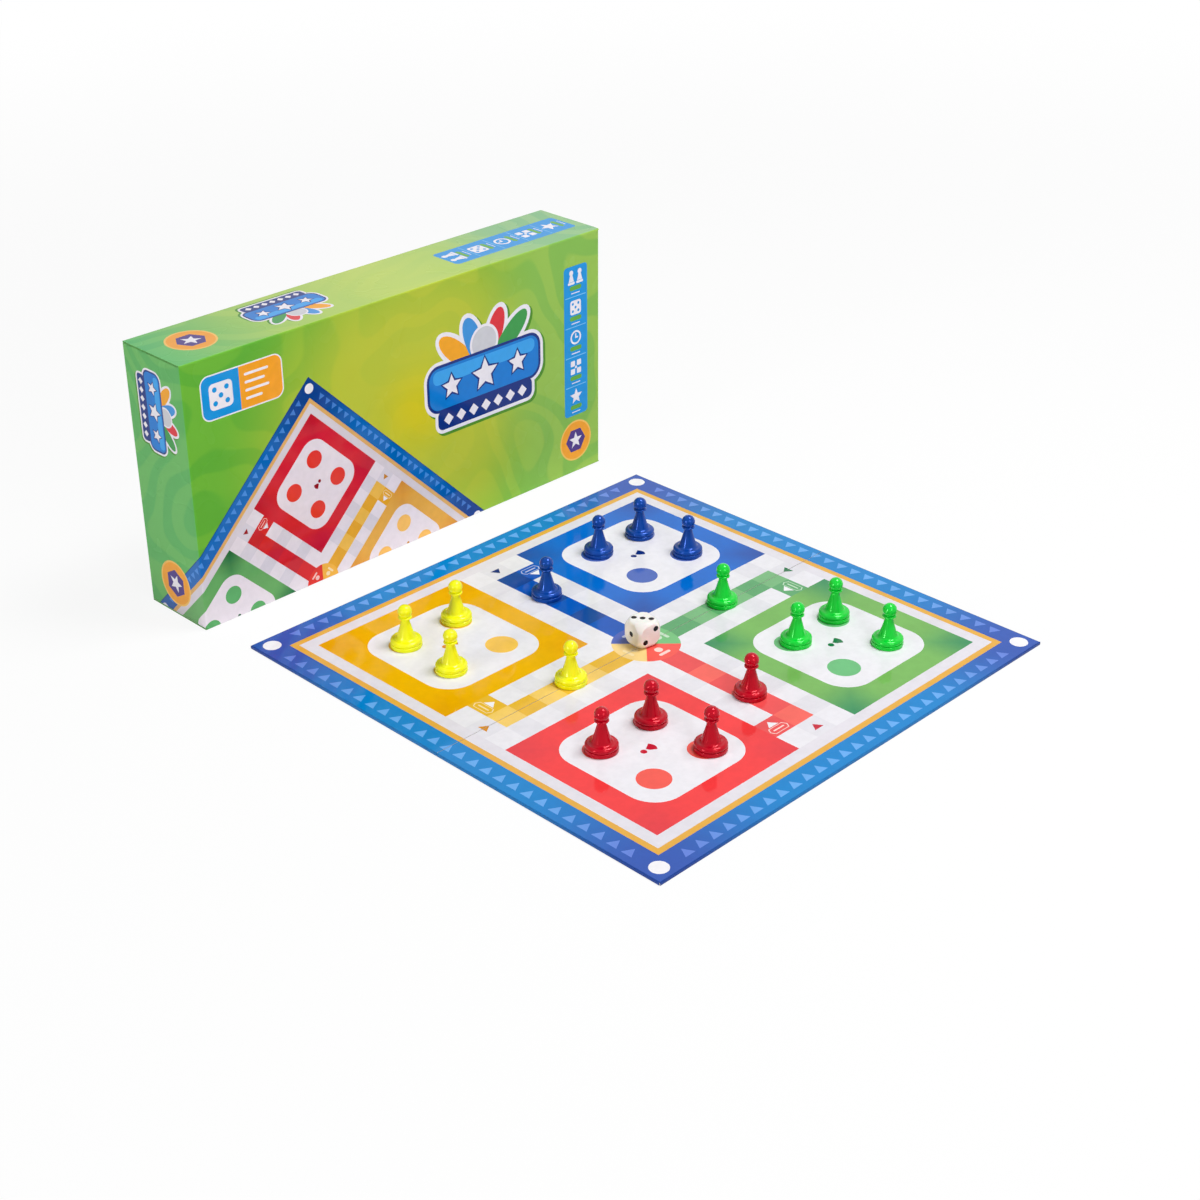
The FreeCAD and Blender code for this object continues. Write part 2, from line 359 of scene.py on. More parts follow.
def carton_ground(name, greens, middle, reach):
    """Varnished card print: a warm middle, a cool near end, a pale far end and faint wandering contours."""
    material, tree, shader, position = new_finish(name)
    warm, around, cool, far = [srgb(code) for code in greens.split()]
    offset = vector_calc(tree, "SUBTRACT", position, middle)
    distance = vector_calc(tree, "LENGTH", vector_calc(tree, "DIVIDE", offset, reach))
    base = mix(tree, ramp(tree, distance, 0.0, 0.32), warm, around)
    base = mix(tree, ramp(tree, distance, 0.4, 1.0), base, cool)
    along = node(tree, "SeparateXYZ", {0: offset}).outputs["X"]
    base = mix(tree, ramp(tree, along, *FAR_END), base, far)
    swirl = noise(tree, position, scale=13.0, detail=0.6)
    contours = calc(tree, "SINE", calc(tree, "MULTIPLY", swirl, CONTOUR_TURNS))
    strength = ramp(tree, distance, 0.2, 1.0, 0.15, 1.0)
    amount = calc(tree, "MULTIPLY", ramp(tree, contours, -0.3, 0.3), strength)
    grain = noise(tree, position, scale=260.0, detail=3.0)
    set_inputs(tree, shader, {
        "Base Color": mix(tree, amount, base, CONTOUR_TINT, "MULTIPLY"),
        "Roughness": patches(tree, position, scale=30.0, low=0.2, high=0.3),
        "Specular IOR Level": 0.12,
        "Normal": bump(tree, grain, strength=0.05, distance=0.0003),
    })
    return material


def card(name, colour, fibre, roughness):
    """Bare board or paper: fine fibres and specks, matt."""
    material, tree, shader, position = new_finish(name)
    along = squeezed(tree, position, (1.0, 5.0, 5.0))
    fibres = ramp(tree, noise(tree, along, scale=400.0, detail=6.0), 0.35, 0.7)
    set_inputs(tree, shader, {
        "Base Color": two_tone(tree, fibres, 0.35, colour, fibre),
        "Roughness": roughness,
        "Normal": bump(tree, fibres, strength=0.12, distance=0.0002),
    })
    return material


def gloss_tint(colour, white):
    """The shine of a dyed plastic: part white, part its own hue."""
    hue = srgb(colour)[:3]
    return (*[white + (1.0 - white) * channel / max(hue) for channel in hue], 1.0)


def plastic(name, colour, shade, glow, gloss, white):
    """Glossy moulded plastic: a touch of depth, faint flow marks and a polished skin."""
    material, tree, shader, position = new_finish(name)
    flow = patches(tree, position, scale=60.0, detail=3.0)
    set_inputs(tree, shader, {
        "Base Color": two_tone(tree, flow, 0.3, colour, shade),
        "Roughness": patches(tree, position, scale=150.0, low=0.1, high=0.16),
        "Specular IOR Level": gloss,
        "Specular Tint": gloss_tint(colour, white),
        "Subsurface Weight": glow,
        "Subsurface Scale": 0.002,
        "Normal": bump(tree, noise(tree, position, scale=240.0), strength=0.03, distance=0.0002),
    })
    return material


def metal(name, colour, roughness, grain):
    """Bare metal or ferrite with a fine grain."""
    material, tree, shader, position = new_finish(name)
    lines = noise(tree, squeezed(tree, position, (1.0, grain, 1.0)), scale=300.0, detail=4.0)
    set_inputs(tree, shader, {
        "Base Color": two_tone(tree, lines, 0.3, colour, METAL_SHADE),
        "Metallic": 0.9,
        "Roughness": roughness,
        "Normal": bump(tree, lines, strength=0.05, distance=0.0001),
    })
    return material


def book_cloth(name, colour, thread):
    """Woven cloth of the hinge strip: two crossed sets of threads."""
    material, tree, shader, position = new_finish(name)
    weave = []
    for direction in ("X", "Y"):
        wave = node(tree, "TexWave", {"Vector": position, "Scale": 420.0, "Distortion": 0.4},
                    wave_type="BANDS", bands_direction=direction)
        weave.append(wave.outputs["Fac"])
    cloth = calc(tree, "MULTIPLY", *weave)
    set_inputs(tree, shader, {
        "Base Color": mix(tree, cloth, srgb(colour), srgb(thread)),
        "Roughness": 0.8,
        "Normal": bump(tree, cloth, strength=0.3, distance=0.0001),
    })
    return material


# Flat shapes, as lists of points in millimetres. Art is a list of inks with their shapes, the last on top.

def rectangle(x0, y0, x1, y1):
    """A rectangle between two corners."""
    return [(x0, y0), (x1, y0), (x1, y1), (x0, y1)]


def square(x, y, half):
    """A square about a centre."""
    return rectangle(x - half, y - half, x + half, y + half)


def triangle(x, low, width, height):
    """A triangle that stands on its base."""
    return [(x - width / 2, low), (x + width / 2, low), (x, low + height)]


def circle(x, y, r, steps=40):
    """A disc, or a polygon of a few sides."""
    angles = [2 * math.pi * i / steps for i in range(steps)]
    return [(x + r * math.cos(a), y + r * math.sin(a)) for a in angles]


def sector(x, y, r, start, end, steps=16):
    """A slice of a disc between two angles in degrees."""
    angles = [math.radians(start + (end - start) * i / steps) for i in range(steps + 1)]
    return [(x, y)] + [(x + r * math.cos(a), y + r * math.sin(a)) for a in angles]


def rounded(x, y, width, height, r, steps=8):
    """A rectangle about a centre with rounded corners."""
    points = []
    for quarter, (sx, sy) in enumerate(((1, 1), (-1, 1), (-1, -1), (1, -1))):
        cx = x + sx * (width / 2 - r)
        cy = y + sy * (height / 2 - r)
        for step in range(steps + 1):
            angle = math.pi / 2 * (quarter + step / steps)
            points.append((cx + r * math.cos(angle), cy + r * math.sin(angle)))
    return points


def star(x, y, outer, inner, arms=5):
    """A star with one arm upright."""
    points = []
    for i in range(2 * arms):
        r = outer if i % 2 == 0 else inner
        angle = math.pi / 2 + math.pi * i / arms
        points.append((x + r * math.cos(angle), y + r * math.sin(angle)))
    return points


def moved(art, scale=1.0, turn=0.0, shift=(0.0, 0.0)):
    """The same art, scaled, turned by degrees and shifted."""
    c = scale * math.cos(math.radians(turn))
    s = scale * math.sin(math.radians(turn))
    return [(ink, [(c * x - s * y + shift[0], s * x + c * y + shift[1]) for x, y in points])
            for ink, points in art]


def near(art, low, high, room):
    """The art that reaches into a rectangle, or into the room around it."""
    kept = []
    for ink, points in art:
        xs = [p[0] for p in points]
        ys = [p[1] for p in points]
        inside_x = max(xs) > low[0] - room and min(xs) < high[0] + room
        inside_y = max(ys) > low[1] - room and min(ys) < high[1] + room
        if inside_x and inside_y:
            kept.append((ink, points))
    return kept


# The traditional ludo pattern

def arm_art(colour):
    """One arm, drawn as the front one: a chequered track, a coloured lane, the start and an arrow."""
    art = []
    for column in (-1, 0, 1):
        for row in range(ARM_ROWS):
            x = column * CELL
            y = -ARM_HALF - (row + 0.5) * CELL
            odd = (column + row) % 2
            ink = "cell_white" if odd else "cell_grey"
            lane = column == 0 and row < ARM_ROWS - 1
            start = column == -1 and row == ARM_ROWS - 2
            if lane or start:
                ink = colour + ("_arm_b" if odd else "_arm_a")
            art.append((ink, square(x, y, CELL / 2)))
            if start:
                art += start_art(x, y + CELL / 2, ink, colour + "_mark")
    # The lane runs on under the hub
    art.append((colour + "_arm_a", rectangle(-CELL / 2, -ARM_HALF, CELL / 2, HUB_OVERLAP - HUB_R)))
    arrow_low = -FIELD + CELL / 2 - ARROW_H / 2
    art.append((colour + "_arrow", triangle(0.0, arrow_low, ARROW_W, ARROW_H)))
    return art


def start_art(x, inner, ground, mark):
    """The sign on a start cell, below the cell's inner edge: a triangle on a banner with a plain bar."""
    banner = inner - BANNER_DROP

    def hexagon(half_w, half_h):
        corner = half_w - BANNER_POINT * half_h
        return [(x - half_w, banner), (x - corner, banner - half_h), (x + corner, banner - half_h),
                (x + half_w, banner), (x + corner, banner + half_h), (x - corner, banner + half_h)]

    return [
        ("white", triangle(x, inner - START_DROP, START_W, START_H)),
        (mark, hexagon(*BANNER_RIM)),
        (ground, hexagon(*BANNER_FACE)),
        (mark, rounded(x, banner, *BANNER_BAR, steps=3)),
    ]


def hub_art(colour):
    """One colour's quarter of the hub, drawn for the front arm, with a small pawn mark."""
    return [
        (colour + "_hub", sector(0, 0, HUB_R, 225, 315)),
        (colour + "_mark", circle(0, -HUB_HEAD, HUB_HEAD_R, steps=20)),
        (colour + "_mark", rounded(0, -HUB_FOOT, *HUB_FOOT_BAR, steps=3)),
    ]


def home_art(colour, side_x, side_y):
    """A home square: a white panel, four circles and a small pawn mark lying on its side."""
    cx = side_x * HOME_CENTRE
    cy = side_y * HOME_CENTRE
    art = [
        (colour + "_home", square(cx, cy, HOME_HALF)),
        ("panel", rounded(cx, cy, HOME_PANEL, HOME_PANEL, HOME_PANEL_R, steps=10)),
    ]
    for step_x in (-1, 1):
        for step_y in (-1, 1):
            spot = circle(cx + step_x * CIRCLE_STEP, cy + step_y * CIRCLE_STEP, CIRCLE_R)
            art.append((colour + "_circle", spot))
    art.append((colour + "_arrow", circle(cx + HOME_HEAD[0], cy + HOME_HEAD[1], HOME_HEAD_R, steps=20)))
    art.append((colour + "_arrow", [(cx + x, cy + y) for x, y in HOME_BODY]))
    return art


def border_art():
    """The blue border with a row of triangles along each side, corner dots, and the line inside them."""
    art = [("border", square(0, 0, BORDER_EDGE))]
    low = -BORDER_MIDDLE - TRIANGLE_H / 2
    for turn in (0, 90, 180, 270):
        side = []
        for i in range(-BORDER_COUNT, BORDER_COUNT + 1):
            side.append(("triangle", triangle(i * BORDER_PITCH, low, TRIANGLE_W, TRIANGLE_H)))
        side.append(("white", circle(-CORNER_DOT, -CORNER_DOT, CORNER_DOT_R)))
        art += moved(side, turn=turn)
    art.append(("line", square(0, 0, LINE_OUTER)))
    art.append(("band", square(0, 0, LINE_INNER)))
    return art


def ludo_art():
    """The whole playing face."""
    art = border_art()
    art.append(("cell_white", square(0, 0, ARM_HALF)))
    for colour, side in SIDES.items():
        art += home_art(colour, *side["home"])
    for colour, side in SIDES.items():
        art += moved(arm_art(colour), turn=side["turn"])
        art += moved(hub_art(colour), turn=side["turn"])
    return art


def ludo_inks(prefix, plain, colours, layout):
    """The inks of the ludo pattern by name, on a print that lies at a layout."""
    inks = {}
    for key, codes in plain.items():
        inks[key] = laminated_ink(prefix + key, codes, (layout, (0, 0), LINE_OUTER))
    for colour, side in SIDES.items():
        centre = [HOME_CENTRE * s for s in side["home"]]
        for part, codes in zip(INK_PARTS, colours[colour]):
            key = colour + "_" + part
            inks[key] = laminated_ink(prefix + key, codes, (layout, centre, HOME_HALF))
    return inks


# The carton's own print: plain emblems and the ludo pattern

def pawn_icon(x, y, height, ink):
    """A pawn's outline: body, foot and head."""
    h = height
    return [
        (ink, [(x - 0.1 * h, y + 0.2 * h), (x - 0.24 * h, y - 0.3 * h),
               (x + 0.24 * h, y - 0.3 * h), (x + 0.1 * h, y + 0.2 * h)]),
        (ink, rounded(x, y - 0.41 * h, 0.62 * h, 0.17 * h, 0.06 * h, steps=4)),
        (ink, circle(x, y + 0.32 * h, 0.18 * h, steps=24)),
    ]


def die_icon(x, y, size, face, dots):
    """A die's face with five dots."""
    art = [(face, rounded(x, y, size, size, 0.18 * size, steps=5))]
    for a, b in ((-1, -1), (-1, 1), (0, 0), (1, -1), (1, 1)):
        art.append((dots, circle(x + 0.26 * a * size, y + 0.26 * b * size, 0.1 * size, steps=16)))
    return art


def clock_icon(x, y, size, ink, ground):
    """A clock's ring with two hands."""
    hand = 0.05 * size
    return [
        (ink, circle(x, y, size / 2, steps=28)),
        (ground, circle(x, y, 0.37 * size, steps=28)),
        (ink, rectangle(x - hand, y - hand, x + hand, y + 0.28 * size)),
        (ink, rectangle(x - hand, y - hand, x + 0.22 * size, y + hand)),
    ]


def board_icon(x, y, size, ink):
    """Four rounded fields about a dot."""
    art = []
    for a in (-1, 1):
        for b in (-1, 1):
            cx, cy = x + 0.29 * a * size, y + 0.29 * b * size
            art.append((ink, rounded(cx, cy, 0.4 * size, 0.4 * size, 0.06 * size, steps=3)))
    art.append((ink, circle(x, y, 0.1 * size, steps=16)))
    return art


def icon_strip(length, width):
    """A blue strip of plain icons, each over a green pill and a thin bar, drawn upright about its centre."""
    count = 5
    pitch = length / count
    size = 0.46 * width
    middles = [length / 2 - (i + 0.5) * pitch for i in range(count)]
    pawns_y, die_y, clock_y, board_y, star_y = [y + 0.14 * pitch for y in middles]
    art = [("strip", rounded(0, 0, width, length, 2.5, steps=4))]
    for side in (-1, 1):
        art += pawn_icon(0.18 * side * width, pawns_y, size, "white")
    art += die_icon(0, die_y, size, "white", "strip")
    art += clock_icon(0, clock_y, size, "white", "strip")
    art += board_icon(0, board_y, size, "white")
    art += [("white", star(0, star_y, 0.27 * width, 0.12 * width))]
    for y in middles:
        art.append(("pill", rounded(0, y - 0.22 * pitch, 0.5 * width, 0.15 * pitch, 0.07 * pitch, steps=4)))
        art.append(("white", rectangle(-0.18 * width, y - 0.4 * pitch, 0.18 * width, y - 0.37 * pitch)))
    for i in range(1, count):
        y = length / 2 - i * pitch
        art.append(("strip_line", rectangle(-0.44 * width, y - 0.25, 0.44 * width, y + 0.25)))
    return art


def petal(reach, width, lean, grow, shift):
    """A rounded petal from the origin that leans from upright by degrees, grown all round for outlines."""
    steps = 32
    points = []
    c = math.cos(math.radians(lean))
    s = math.sin(math.radians(lean))
    for i in range(steps):
        angle = 2 * math.pi * i / steps
        along = reach / 2 - (reach / 2 + grow) * math.cos(angle)
        across = (width / 2 * (0.8 - 0.25 * math.cos(angle)) + grow) * math.sin(angle)
        points.append((along * s + across * c + shift[0], along * c - across * s + shift[1]))
    return points


def plaque():
    """Four petals and a pale disc behind a blue bar with stars, over a band of diamonds, about its centre."""
    # Plates: the place of the middle, width and height
    bar = (0.0, -7.5, 95.0, 30.0)
    band = (0.0, -28.5, 79.0, 12.0)
    # Petals: reach and lean
    petals = {"yellow": (49.0, -48.0), "blue": (43.0, -20.0), "red": (43.0, 20.0), "green": (49.0, 48.0)}
    petal_w = 16.0
    root_y = -8.0
    disc_y = 13.0
    # Stars: place along the bar and size
    stars = ((-28.0, 8.0), (0.0, 11.0), (28.0, 8.0))
    star_y = -8.0
    diamond_y = -29.0
    diamond_pitch = 10.5

    def plate(ink, place, grow, drop=0.0):
        x, y, width, height = place
        r = 0.3 * height + grow
        return ink, rounded(x + drop, y - drop, width + 2 * grow, height + 2 * grow, r)

    art = []
    for ink, grow, drop in (("shade", 3.4, 1.6), ("white", 3.0, 0.0)):
        for reach, lean in petals.values():
            art.append((ink, petal(reach, petal_w, lean, grow, (drop, root_y - drop))))
        art += [plate(ink, bar, grow, drop), plate(ink, band, grow, drop)]
    for colour, (reach, lean) in petals.items():
        art.append((colour + "_disc", petal(reach, petal_w, lean, 0.0, (0.0, root_y))))
    art.append(("white", circle(0, disc_y, 12.0)))
    art.append(("pale_disc", circle(0, disc_y, 10.3)))
    art += [plate("plaque_edge", band, 0.7), plate("plaque_edge", bar, 0.7), plate("plaque", bar, -1.2)]
    art.append(("plaque_light", rounded(0, 0.0, 86.0, 9.0, 4.0, steps=6)))
    for x, size in stars:
        art.append(("plaque_edge", star(x, star_y, size + 1.8, 0.5 * size + 1.2)))
        art.append(("white", star(x, star_y, size, 0.46 * size)))
    for i in range(-3, 4):
        art.append(("white", circle(diamond_pitch * i, diamond_y, 4.0, steps=4)))
    return art


def badge(r):
    """An orange seal with a rim, a violet hexagon and a star, about its centre."""
    return [
        ("badge_rim", circle(0, 0, r, steps=48)),
        ("badge", circle(0, 0, 0.92 * r, steps=48)),
        ("badge_inner", circle(0, 0, 0.62 * r, steps=6)),
        ("white", star(0, 0, 0.42 * r, 0.18 * r)),
    ]


def tip_panel(x0, x1, y0, y1, split):
    """A two-colour label: a die face on blue, and plain bars on orange."""
    corner = 5.0
    rim = 0.8
    cx, cy = (x0 + x1) / 2, (y0 + y1) / 2
    width, height = x1 - x0, y1 - y0
    label = rounded(cx, cy, width, height, corner, steps=6)
    art = [
        ("white", rounded(cx, cy, width + 2 * rim, height + 2 * rim, corner + rim, steps=6)),
        ("badge", label),
        ("strip", [(min(x, split), y) for x, y in label]),
    ]
    art += die_icon((x0 + split) / 2, cy, 0.62 * height, "white", "strip")
    bars_x = split + 3.5
    for i, share in enumerate((0.72, 0.6, 0.72, 0.5)):
        y = cy + (1.5 - i) * 0.19 * height
        length = share * (x1 - split - 6)
        art.append(("white", rounded(bars_x + length / 2, y, length, 1.6, 0.8, steps=3)))
    return art


def ludo_picture():
    """The whole ludo board as a picture, on its own border."""
    return [("edge", square(0, 0, BOARD_HALF))] + ludo_art()


def carton_art(half_x, half_z, depth):
    """The lid's blank, from the middle of its panel: walls carry on past the folds."""
    art = []
    for end in (-1, 1):
        x0, x1 = sorted((end * half_x, end * (half_x + depth)))
        art.append(("end_ground", rectangle(x0, -half_z, x1, half_z)))
    art.append(("top_ground", rectangle(-half_x, half_z, half_x, half_z + depth)))
    art += moved(ludo_picture(), PICTURE_SCALE, PICTURE_TURN, PICTURE_CENTRE)
    art += tip_panel(**TIP_PANEL)
    art += moved(plaque(), shift=PLAQUE_PLACE)
    art += moved(icon_strip(*STRIP_SIZE), shift=STRIP_PLACE)
    art += moved(badge(BADGE_R), shift=BADGE_PLACE)
    # Top wall, drawn to be read from behind
    top = half_z + depth / 2
    art += moved(badge(TOP_BADGE_R), turn=180, shift=(TOP_BADGE_X, top))
    art += moved(plaque(), TOP_PLAQUE_SCALE, 180, (TOP_PLAQUE_X, top))
    art += moved(icon_strip(*TOP_STRIP_SIZE), turn=90, shift=(TOP_STRIP_X, top - TOP_STRIP_DROP))
    for end in (-1, 1):
        middle = end * (half_x + depth / 2)
        plaque_place = (middle - end * END_PLAQUE_INSET, END_PLAQUE_UP)
        art += moved(plaque(), END_PLAQUE_SCALE, end * 90, plaque_place)
        art += moved(badge(BADGE_R), turn=end * 90, shift=(middle, END_BADGE_UP))
    return art


# Folded sheets

class FoldedSheet:
    """A printed blank: a panel with flaps folded back along its sides. Sizes in millimetres."""

    ARC_STEPS = 4
    SIDE_NAMES = ("left", "right", "low", "high")
    INSIDE_ONLY = 1
    WELD = 1e-4

    def __init__(self, low, high, flaps, fold_r, thickness, seam):
        self.low = low
        self.high = high
        self.flaps = {side: flaps.get(side, 0.0) for side in self.SIDE_NAMES}
        self.fold_r = fold_r
        self.thickness = thickness
        self.seam = seam
        room = {side: fold_r if depth else 0.0 for side, depth in self.flaps.items()}
        self.start = {
            "left": low[0] + room["left"],
            "right": high[0] - room["right"],
            "low": low[1] + room["low"],
            "high": high[1] - room["high"],
        }

    def reach(self, side):
        """Length of the blank past the start of a fold."""
        if not self.flaps[side]:
            return 0.0
        return self.fold_r * (math.pi / 2 - 1) + self.flaps[side]

    def rectangles(self):
        """The panel and its flaps on the blank. End flaps stop short of the long ones by a seam."""
        s = self.start
        end_low = s["low"] + (self.seam if self.flaps["low"] else 0.0)
        end_high = s["high"] - (self.seam if self.flaps["high"] else 0.0)
        parts = {
            "panel": rectangle(s["left"], s["low"], s["right"], s["high"]),
            "left": rectangle(s["left"] - self.reach("left"), end_low, s["left"], end_high),
            "right": rectangle(s["right"], end_low, s["right"] + self.reach("right"), end_high),
            "low": rectangle(self.low[0], s["low"] - self.reach("low"), self.high[0], s["low"]),
            "high": rectangle(self.low[0], s["high"], self.high[0], s["high"] + self.reach("high")),
        }
        return [points for side, points in parts.items() if side == "panel" or self.flaps[side]]

    def creases(self):
        """Lines along the folds, so that each fold bends in a few steps."""
        s = self.start
        step = self.fold_r * math.pi / 2 / self.ARC_STEPS
        end_ys = s["low"] + self.seam, s["high"] - self.seam
        long_xs = self.low[0], self.high[0]
        lines = []
        for i in range(1, self.ARC_STEPS + 1):
            run = i * step
            if self.flaps["left"]:
                lines.append([(s["left"] - run, y) for y in end_ys])
            if self.flaps["right"]:
                lines.append([(s["right"] + run, y) for y in end_ys])
            if self.flaps["low"]:
                lines.append([(x, s["low"] - run) for x in long_xs])
            if self.flaps["high"]:
                lines.append([(x, s["high"] + run) for x in long_xs])
        return lines

    def bend(self, run, inset):
        """How far across and back a point lies that is a run past the start of a fold."""
        turn = min(run / self.fold_r, math.pi / 2)
        straight = max(run - self.fold_r * math.pi / 2, 0.0)
        radius = self.fold_r - inset
        return radius * math.sin(turn), self.fold_r - radius * math.cos(turn) + straight

    def fold(self, u, v, inset=0.0):
        """Place on the folded sheet: along the panel, up the panel, and behind it."""
        s = self.start
        if self.flaps["high"] and v >= s["high"] - self.seam / 2:
            across, back = self.bend(max(v - s["high"], 0.0), inset)
            return u, s["high"] + across, back
        if self.flaps["low"] and v <= s["low"] + self.seam / 2:
            across, back = self.bend(max(s["low"] - v, 0.0), inset)
            return u, s["low"] - across, back
        if self.flaps["right"] and u > s["right"]:
            across, back = self.bend(u - s["right"], inset)
            return s["right"] + across, v, back
        if self.flaps["left"] and u < s["left"]:
            across, back = self.bend(s["left"] - u, inset)
            return s["left"] - across, v, back
        return u, v, inset

    def cut(self, art):
        """The blank cut into triangles of one ink each: flat points, and triangles with their ink or None."""
        ground = self.rectangles()
        points = []
        faces = []
        edges = []
        for polygon in ground + [shape for ink, shape in art]:
            area = sum(a[0] * b[1] - b[0] * a[1] for a, b in zip(polygon, polygon[1:] + polygon[:1]))
            ordered = polygon if area > 0 else polygon[::-1]
            faces.append(list(range(len(points), len(points) + len(ordered))))
            points += [Vector(p) for p in ordered]
        for crease in self.creases():
            edges.append((len(points), len(points) + 1))
            points += [Vector(p) for p in crease]
        result = delaunay_2d_cdt(points, edges, faces, self.INSIDE_ONLY, self.WELD)
        flat, _, triangles, _, _, owners = result
        pieces = []
        for corners, owner in zip(triangles, owners):
            if min(owner, default=len(ground)) >= len(ground):
                continue
            top = max(owner)
            pieces.append((corners, art[top - len(ground)][0] if top >= len(ground) else None))
        return flat, pieces

    def build(self, name, art, inks, ground_ink, inside, edge, place):
        """A closed mesh of the folded sheet. place turns a folded point into one of the frame, in metres."""
        flat, pieces = self.cut(art)
        slots = []

        def slot_of(material):
            if material not in slots:
                slots.append(material)
            return slots.index(material)

        made = bmesh.new()
        outer = [made.verts.new(place(*self.fold(*p))) for p in flat]
        inner = [made.verts.new(place(*self.fold(*p, self.thickness))) for p in flat]
        rim = {}
        for (a, b, c), ink in pieces:
            face = made.faces.new((outer[a], outer[b], outer[c]))
            face.material_index = slot_of(inks[ink] if ink else ground_ink)
            back = made.faces.new((inner[c], inner[b], inner[a]))
            back.material_index = slot_of(inside)
            for p, q in ((a, b), (b, c), (c, a)):
                if (q, p) in rim:
                    del rim[(q, p)]
                else:
                    rim[(p, q)] = True
        for p, q in rim:
            side = made.faces.new((outer[q], outer[p], inner[p], inner[q]))
            side.material_index = slot_of(edge)
        loose = [v for v in made.verts if not v.link_faces]
        bmesh.ops.delete(made, geom=loose, context="VERTS")
        mesh = bpy.data.meshes.new(name)
        made.to_mesh(mesh)
        made.free()
        for material in slots:
            mesh.materials.append(material)
        return new_object(name, mesh)


def box_mm(name):
    """A node's lowest and highest corners in millimetres."""
    low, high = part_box(name)
    return [v / MM for v in low], [v / MM for v in high]


# Board: a printed sheet for each half, wrapped over its three outer edges

board_layout = Layout((0, 0, 0), (1, 0, 0), (0, 1, 0))
board_inks = ludo_inks("board_", BOARD_PLAIN, BOARD_INKS, board_layout)
board_pattern = ludo_art()
print_back = card("print_back", "dcd8d0", "c6c0b4", 0.85)


def print_sheet(half):
    """The printed sheet of one half of the board."""
    cad_name = half + "_print_sheet"
    low, high = box_mm(cad_name)
    thick = high[2] - low[2]
    outer_side = "high" if half == "rear" else "low"
    flaps = {"left": thick, "right": thick, outer_side: thick}
    sheet = FoldedSheet(low[:2], high[:2], flaps, PRINT_FOLD_R, PRINT_T, PRINT_SEAM)

    def place(x, y, back):
        return x * MM, y * MM, (high[2] - back) * MM

    art = near(board_pattern, low, high, thick)
    # The flaps and the outermost rim take the darker edge ink: painted shade of the rounded edge
    piece = sheet.build(half + "_printed_sheet", art, board_inks, board_inks["edge"],
                        print_back, print_back, place)
    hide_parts(cad_name)
    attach(piece, half + "_half")


for half_name in HALVES:
    print_sheet(half_name)


# Carton: a printed lid, and a plain base of the same green

lid_low, lid_high = box_mm("carton_lid")
base_low, base_high = box_mm("carton_base")
carton_x = (lid_low[0] + lid_high[0]) / 2
carton_z = (lid_low[2] + lid_high[2]) / 2
ground_middle = (carton_x * MM + GROUND_SHIFT, lid_low[1] * MM, carton_z * MM + GROUND_SHIFT)
carton_green = carton_ground("carton_green", PANEL_GREENS, ground_middle, PANEL_REACH)
card_white = card("card_white", "eceae4", "d4cfc4", 0.75)
# The card's cut edges are a dark green that also stands for the shaded line along the corner seams: partly
# the card's own edge, partly painted shade
card_edge_and_seam_shade = card("card_edge_and_seam_shade", "4c9440", "7cb464", 0.8)


def carton_inks():
    """The lid's inks by name: the picture's, the emblems' and the greens of the walls."""
    turn = math.radians(PICTURE_TURN)
    along = Vector((math.cos(turn), 0.0, math.sin(turn))) * PICTURE_SCALE
    up = Vector((-math.sin(turn), 0.0, math.cos(turn))) * PICTURE_SCALE
    origin = (carton_x + PICTURE_CENTRE[0], lid_low[1], carton_z + PICTURE_CENTRE[1])
    inks = ludo_inks("carton_", PICTURE_PLAIN, PICTURE_INKS, Layout(origin, along, up))
    for key, code in CARTON_INKS.items():
        inks[key] = laminated_ink("carton_" + key, code)
    # The top and end walls get their own greens, lighter on top and bluer at the ends: painted sheen
    for wall, greens in (("top", TOP_GREENS_AND_SHEEN), ("end", END_GREENS_AND_SHEEN)):
        name = "carton_%s_green" % wall
        inks[wall + "_ground"] = carton_ground(name, greens, ground_middle, WALL_REACH)
    return inks


def carton_blank(low, high):
    """The blank of a card box between two corners, drawn about the middle of its panel."""
    half_x = (high[0] - low[0]) / 2
    half_z = (high[2] - low[2]) / 2
    flaps = dict.fromkeys(FoldedSheet.SIDE_NAMES, high[1] - low[1])
    return FoldedSheet((-half_x, -half_z), (half_x, half_z), flaps, CARD_FOLD_R, CARD_T, CARD_SEAM)


def carton_lid():
    """The printed lid, open to the back."""
    sheet = carton_blank(lid_low, lid_high)
    depth = lid_high[1] - lid_low[1]

    def place(x, z, back):
        return (carton_x + x) * MM, (lid_low[1] + back) * MM, (carton_z + z) * MM

    art = near(carton_art(*sheet.high, depth), sheet.low, sheet.high, depth)
    piece = sheet.build("printed_lid", art, carton_inks(), carton_green, card_white, card_edge_and_seam_shade, place)
    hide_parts("carton_lid")
    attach(piece, "carton_lid")


def carton_base():
    """The plain base, open to the front."""
    sheet = carton_blank(base_low, base_high)

    def place(x, z, back):
        return (carton_x - x) * MM, (base_high[1] - back) * MM, (carton_z + z) * MM

    piece = sheet.build("folded_base", [], {}, carton_green, card_white, card_edge_and_seam_shade, place)
    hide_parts("carton_base")
    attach(piece, "carton_base")


carton_lid()
carton_base()


# Finishes of the pieces whose solids show

def finish_nodes(material, names):
    """Gives solids of the frame a material."""
    for name in names:
        slots = nodes[name].data.materials
        slots.clear()
        slots.append(material)


def pawn_nodes(colour, piece):
    """The nodes of one colour's pawns or magnets."""
    return ["%s_%s_%d" % (colour, piece, n) for n in range(1, PAWNS_EACH + 1)]


def half_nodes(layer):
    """The nodes of one layer of the board."""
    return [half + "_" + layer for half in HALVES]


